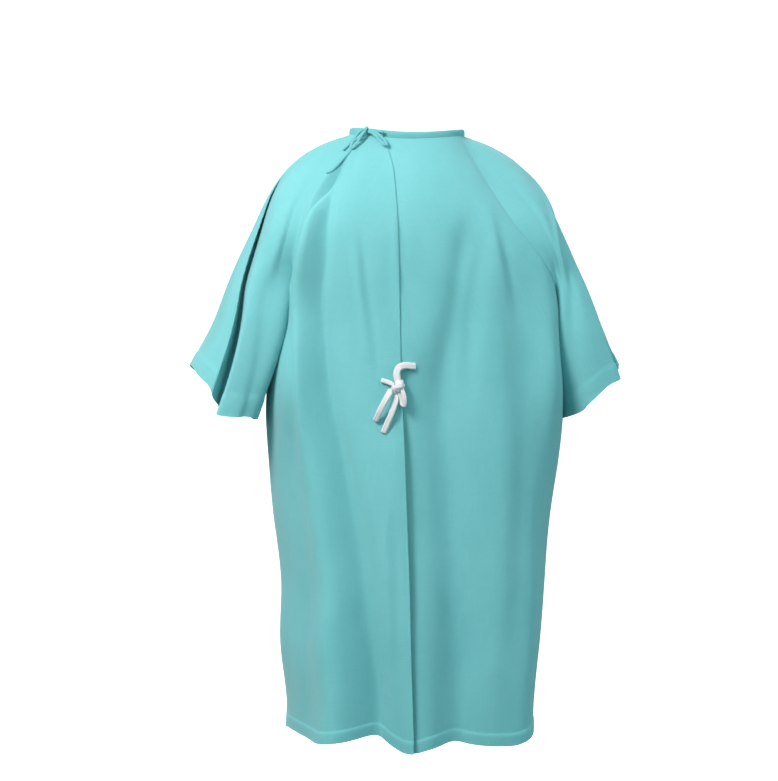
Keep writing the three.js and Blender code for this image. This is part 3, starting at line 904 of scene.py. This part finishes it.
def laid(hang, grid, m, s):
    """The back runs straight to the seam, and lower down it laps over the body's side."""
    first = int(np.argmax(s[0] >= FLAT_FROM))
    start, stop = grid[:, first : first + 1], grid[:, -1:]
    share = np.clip((s - s[0, first]) / (1 - s[0, first]), 0, 1)
    straight = start + (stop - start) * share[..., None]
    weight = hang.flatness * smooth(share / 0.35) * smooth((m - 0.06) / 0.15) * smooth((1.04 - m) / 0.3)
    grid = grid + (straight - grid) * weight[..., None]
    over = bump(s, 0.8, 0.17) * (s > 0) * smooth((1 - s) / 0.12)
    grid[..., 0] -= hang.lap(m) * over
    grid[..., 1] += 0.022 * over * smooth((m - 0.7) / 0.25)
    at, depth = hang.valley_at(m), hang.valley_depth(m)
    valley = bump(s, at, 0.056)
    grid[..., 1] -= depth * valley
    grid[..., 0] -= 0.12 * depth * valley
    grid[..., 0] -= 0.16 * depth * bump(s, at - 0.13, 0.06)  # spreads the strip in front of it
    grid[..., 0] += hang.overhang(m) * bump(s, at + 0.11, 0.05)  # and the back's edge stands over it
    grid[..., 2] -= hang.hem_drop * smooth((m - 1) / 0.325) * bump(s, 0.45, 0.26)
    grid[..., 0] -= hang.tuck * bump(m, 1.1, 0.16)
    return grid


def make_sleeve(side, hang):
    mirror = side == "right"
    front, back = -SLEEVE_COLUMNS[SLEEVE_COLUMNS < 0], SLEEVE_COLUMNS[SLEEVE_COLUMNS >= 0]
    halves = [(sleeve_half(FRONT, m, front), sleeve_half(BACK, m, back)) for m in SLEEVE_ROWS.tolist()]
    base = np.array([np.concatenate(pair) for pair in halves])
    m, s = np.meshgrid(SLEEVE_ROWS, SLEEVE_COLUMNS, indexing="ij")
    calm = smooth((1 - np.abs(s)) / 0.03)
    height = (HEM_REACH - m) * SLEEVE_PER_ROW
    relief = crease_relief(hang, m, s) * np.where(m < 1, calm, 1) + hem_step(height)
    grid = laid(hang, base - grid_normals(base) * relief[..., None], m, s)
    if mirror:
        grid = grid * np.array([-1.0, 1.0, 1.0])
    # near the seams the sleeve moves as the body's cloth does
    shift = drape(grid) - grid
    pull = seam_out(grid)
    shift[..., 0] -= pull
    weight = smooth((np.abs(s) - 0.8) / 0.2) * smooth((1.16 - m) / 0.16)
    grid = grid + shift * weight[..., None]
    grid[..., 0] += pull * smooth((s - 0.3) / 0.7)
    grid = eased(grid, SLEEVE_ROWS, smooth((1 - np.abs(s)) / 0.1))
    # below the underarm the two edges are one
    weld = int(np.argmax(SLEEVE_ROWS >= 1 - 1e-9))
    grid[weld:, -1] = grid[weld:, 0]
    name = f"sleeve_{side}_cloth"
    piece = thin_solid(name, grid, hem_layers(height), cloth_teal, flip=not mirror, weld_from=weld)
    hem_row = int(np.argmin(np.abs(height[:, 0] - STITCH_INSET)))
    sewn = stitching(name + "_stitching", [stitch_row(grid, 1 if mirror else -1, row=hem_row)])
    nodes = [f"sleeve_{side}_shoulder", f"sleeve_{side}"]
    finish_cloth(piece, nodes, sewn)


# ---- the neck binding ----


def tube_faces(rings, sides, closed=False):
    """Faces of a tube of rings with this many sides each, with capped ends unless it is closed."""
    faces = []
    for i in range(rings if closed else rings - 1):
        for k in range(sides):
            a, b = i * sides + k, i * sides + (k + 1) % sides
            c, d = ((i + 1) % rings) * sides + (k + 1) % sides, ((i + 1) % rings) * sides + k
            faces.append((a, b, c, d))
    if not closed:
        faces.append(tuple(range(sides))[::-1])
        faces.append(tuple((rings - 1) * sides + k for k in range(sides)))
    return faces


def tube_uv(points, faces, sides, width):
    """Places on a tube's cloth: round it, and along it."""
    rings = points.reshape(-1, sides, 3)
    along = np.concatenate([[0], np.cumsum(np.linalg.norm(np.diff(rings.mean(1), axis=0), axis=1))])
    uv = []
    for face in faces:
        turn = [k % sides for k in face]
        wraps = max(turn) == sides - 1 and min(turn) == 0 and len(face) == 4
        for k in face:
            side = k % sides
            uv.append(((sides if wraps and side == 0 else side) / sides * 2.2 * width, along[k // sides]))
    return uv


def make_binding():
    """The bias strip that closes the neckline: two turned edges with a soft crown between them."""
    steps = 220
    start = math.acos(float(top_edge(0)) / NECK_HALF_WIDTH)
    stop = math.acos(float(under_edge(0)) / NECK_HALF_WIDTH) - 2 * math.pi
    slip = BINDING_THICKNESS + 0.0012
    half = BINDING_THICKNESS / 2
    section = [
        (-0.3, -0.0042), (0.0, -0.0046), (0.62, -0.0038), (0.86, 0.0), (1.0, 0.35), (0.98, 0.62),
        (0.72, 0.9), (0.0, 1.0), (-0.72, 0.9), (-0.98, 0.62), (-1.0, 0.35), (-0.86, 0.0), (-0.62, -0.0038),
    ]
    points = []
    for i in range(steps + 1):
        share = i / steps
        angle = mix(start, stop, share)
        p = neck_point(angle)
        out = unit(np.array([p[0], p[1], 0.0]))
        shift = 0.001 - half - slip * float(smooth((share - 0.72) / 0.2))
        pucker = 1 + 0.05 * math.sin(i * 1.9) * math.sin(i * 0.37)
        for across, up in section:
            height = up if up < 0 else up * BINDING_HEIGHT
            points.append(p + out * (shift + across * half * pucker) + np.array([0, 0, 0.0006 + height]))
    points = np.array(points)
    faces = tube_faces(steps + 1, len(section))
    uv = tube_uv(points, faces, len(section), BINDING_HEIGHT)
    piece = mesh_object("neck_binding_cloth", points, faces, binding_teal_with_painted_shade, uv)
    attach(piece, "gown")
    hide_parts("neck_binding")


# ---- ties ----

# routes of the free ends, as in the CAD source
WAIST_LONG_TAIL = [
    (0.0428, 0.1698, -0.4507), (0.046, 0.173, -0.464), (0.052, 0.1745, -0.481), (0.059, 0.1715, -0.499),
    (0.065, 0.1678, -0.514),
]
WAIST_SHORT_TAIL = [
    (0.0539, 0.173, -0.4418), (0.0575, 0.1778, -0.45), (0.065, 0.18, -0.463), (0.072, 0.1765, -0.478),
    (0.078, 0.1668, -0.494),
]
NECK_LONG_TAIL = [
    (0.0847, 0.0566, -0.0056), (0.095, 0.0516, -0.021), (0.113, 0.059, -0.041), (0.129, 0.0685, -0.0586),
    (0.143, 0.075, -0.0715), (0.15, 0.0775, -0.074),
]
NECK_SHORT_TAIL = [
    (0.089, 0.0544, -0.0005), (0.1, 0.0465, -0.012), (0.109, 0.0458, -0.023), (0.118, 0.0498, -0.0315)
]
# each tie, with the width and thickness of its tails
WAIST_TIE = SimpleNamespace(
    place="waist", width=0.01, thickness=0.0058, material=tie_white, slot="waist_tie"
)
# the neck tie takes the darker binding teal, which holds painted shade
NECK_TIE = SimpleNamespace(
    place="neck", width=0.0044, thickness=0.0032, material=binding_teal_with_painted_shade, slot="binding_cloth"
)
TAPE_SIDES = 24


def curve_through(route, steps, closed=False):
    """A smooth line through the route's points, as the CAD's tubes follow them."""
    points = [np.array(p, float) for p in route]
    if closed:
        points = [points[-1], *points, points[0], points[1]]
    else:
        points = [2 * points[0] - points[1], *points, 2 * points[-1] - points[-2]]

    def blended(p, q, a, b, t):
        """p at knot a and q at knot b."""
        return (b - t) / (b - a) * p + (t - a) / (b - a) * q

    line = []
    spans = len(points) - 3
    for i in range(spans):
        p0, p1, p2, p3 = points[i : i + 4]
        k1 = np.linalg.norm(p1 - p0) ** 0.5
        k2 = k1 + np.linalg.norm(p2 - p1) ** 0.5
        k3 = k2 + np.linalg.norm(p3 - p2) ** 0.5
        for t in np.linspace(k1, k2, steps, endpoint=(i == spans - 1 and not closed)):
            middle = blended(p1, p2, k1, k2, t)
            first = blended(blended(p0, p1, 0, k1, t), middle, 0, k2, t)
            last = blended(middle, blended(p2, p3, k2, k3, t), k1, k3, t)
            line.append(blended(first, last, k1, k2, t))
    return np.array(line)


def ribbon(tie, name, route, width, thickness, closed=False, steps=14, pinch=(0.75, 1.0), creases=3):
    """A soft tape along a route: its wide side lies towards the gown, with creases along it.

    An open one is pinched to these shares of its size at its two ends."""
    line = curve_through(route, steps, closed)
    count = len(line)
    points = []
    for i, p in enumerate(line):
        before = line[(i - 1) % count] if closed or i else p
        after = line[(i + 1) % count] if closed or i < count - 1 else p
        way = unit(after - before)
        out = unit(np.array([p[0] * 0.5, p[1], 0.02]))
        out = unit(out - way * np.dot(out, way))
        across = np.cross(way, out)
        share = i / (count - 1)
        swell = 1.0
        rounding = 1.0
        if not closed:
            swell = mix(pinch[0], 1.0, float(smooth(share / 0.22)))
            swell = swell * mix(1.0, pinch[1], float(smooth((share - 0.8) / 0.2)))
            rounding = 0.8 if i in (0, count - 1) else 1.0
        for k in range(TAPE_SIDES):
            turn = 2 * math.pi * k / TAPE_SIDES
            c, s = math.cos(turn), math.sin(turn)
            flat = abs(c) ** 0.75 * math.copysign(1, c) * width / 2
            high = abs(s) ** 0.75 * math.copysign(1, s) * thickness / 2
            crease = 1 - 0.13 * math.cos(creases * 2 * turn + 1.3 + 2.4 * share)
            ruffle = 1 + 0.04 * math.sin(share * 19 + k)
            points.append(p + (across * flat * ruffle + out * high * crease) * swell * rounding)
    points = np.array(points)
    faces = tube_faces(count, TAPE_SIDES, closed)
    uv = tube_uv(points, faces, TAPE_SIDES, width)
    piece = mesh_object(name, points, faces, tie.material, uv, sharp=75)
    return piece, line


def tape(tie, part, replaced, route, width, thickness, **shape):
    """A part of a tie that stays with the gown, and the part that it replaces in the CAD, if any."""
    piece, _ = ribbon(tie, f"{tie.place}_tie_{part}", route, width, thickness, **shape)
    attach(piece, "gown")
    if replaced:
        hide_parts(f"{tie.place}_tie_{replaced}")


def ring_route(centre, across, up, half_across, half_up):
    """Eight points round an ellipse whose half axes lie along across and up."""
    across, up = unit(np.array(across, float)), unit(np.array(up, float))
    turns = [2 * math.pi * k / 8 for k in range(8)]
    return [centre + across * half_across * math.cos(t) + up * half_up * math.sin(t) for t in turns]


def tail(tie, length_name, route):
    """One of a tie's two free ends, which swings at the knot."""
    node = f"{tie.place}_tie_{length_name}_tail"
    piece, line = ribbon(tie, node + "_tape", route, tie.width, tie.thickness)
    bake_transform(piece)
    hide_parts(node)


def make_waist_tie():
    knot = np.array([0.04, 0.1715, -0.437])
    tape(
        WAIST_TIE, "right_lead_tape", "right_lead",
        [(0.01, 0.1605, -0.403), (0.016, 0.163, -0.403), (0.027, 0.1665, -0.402), (0.038, 0.1695, -0.405),
         (0.0425, 0.171, -0.413), (0.042, 0.172, -0.425), (0.041, 0.1725, -0.433)],
        width=0.0115, thickness=0.005, pinch=(1.0, 0.8),
    )
    tape(
        WAIST_TIE, "left_lead_tape", "left_lead",
        [(0.068, 0.1638, -0.4265), (0.062, 0.1652, -0.428), (0.055, 0.1675, -0.4305),
         (0.047, 0.17, -0.4345)],
        width=0.0075, thickness=0.004, pinch=(1.0, 0.9),
    )
    tape(
        WAIST_TIE, "knot_wrap", "bow",
        ring_route(knot, (0.3, 0.95, 0.05), (-0.35, 0.06, 0.93), 0.0052, 0.0088),
        width=0.011, thickness=0.0046, closed=True, steps=6,
    )
    beside_knot = knot + np.array([0.001, 0.0005, -0.001])
    tape(
        WAIST_TIE, "knot_cross", None,
        ring_route(beside_knot, (0.94, -0.2, -0.3), (0.1, 0.97, 0.2), 0.0085, 0.0062),
        width=0.0085, thickness=0.004, closed=True, steps=6,
    )
    tape(
        WAIST_TIE, "loop", None,
        [(0.0375, 0.1745, -0.438), (0.033, 0.1765, -0.447), (0.0305, 0.177, -0.459), (0.031, 0.175, -0.4675),
         (0.034, 0.1735, -0.466), (0.0355, 0.1725, -0.457), (0.038, 0.172, -0.446), (0.04, 0.173, -0.439)],
        width=0.0068, thickness=0.0022, closed=True, steps=8, creases=2,
    )
    tail(WAIST_TIE, "long", WAIST_LONG_TAIL)
    tail(WAIST_TIE, "short", WAIST_SHORT_TAIL)


def make_neck_tie():
    tape(
        NECK_TIE, "lead_tape", "lead",
        [(0.05, 0.0655, -0.001), (0.0546, 0.0648, -0.001), (0.0629, 0.0606, 0.0015),
         (0.0706, 0.058, 0.003), (0.077, 0.0568, 0.003)],
        width=NECK_TIE.width, thickness=0.0026, pinch=(1.0, 0.9),
    )
    tape(
        NECK_TIE, "knot_wrap", "bow",
        ring_route((0.0795, 0.0565, 0.002), (0.5, 0.8, 0.1), (-0.3, 0.1, 0.95), 0.0036, 0.005),
        width=0.006, thickness=0.0026, closed=True, steps=6,
    )
    tape(
        NECK_TIE, "outer_loop", None,
        [(0.0805, 0.057, 0.003), (0.089, 0.056, 0.0015), (0.0985, 0.0555, -0.01),
         (0.106, 0.059, -0.026), (0.104, 0.064, -0.029), (0.0965, 0.063, -0.02),
         (0.088, 0.061, -0.007), (0.0815, 0.058, 0.001)],
        width=0.005, thickness=0.0018, closed=True, steps=8, creases=2,
    )
    tape(
        NECK_TIE, "inner_loop", None,
        [(0.0775, 0.0575, 0.001), (0.07, 0.0625, -0.003), (0.061, 0.073, -0.013),
         (0.053, 0.083, -0.024), (0.048, 0.085, -0.025), (0.05, 0.081, -0.019),
         (0.059, 0.07, -0.007), (0.07, 0.061, 0.001)],
        width=0.0048, thickness=0.0018, closed=True, steps=8, creases=2,
    )
    tail(NECK_TIE, "long", NECK_LONG_TAIL)
    tail(NECK_TIE, "short", NECK_SHORT_TAIL)


make_camera()
make_floor()
make_light()
make_body()
make_binding()
make_waist_tie()
make_neck_tie()
make_sleeve("left", LEFT_HANG)
make_sleeve("right", RIGHT_HANG)
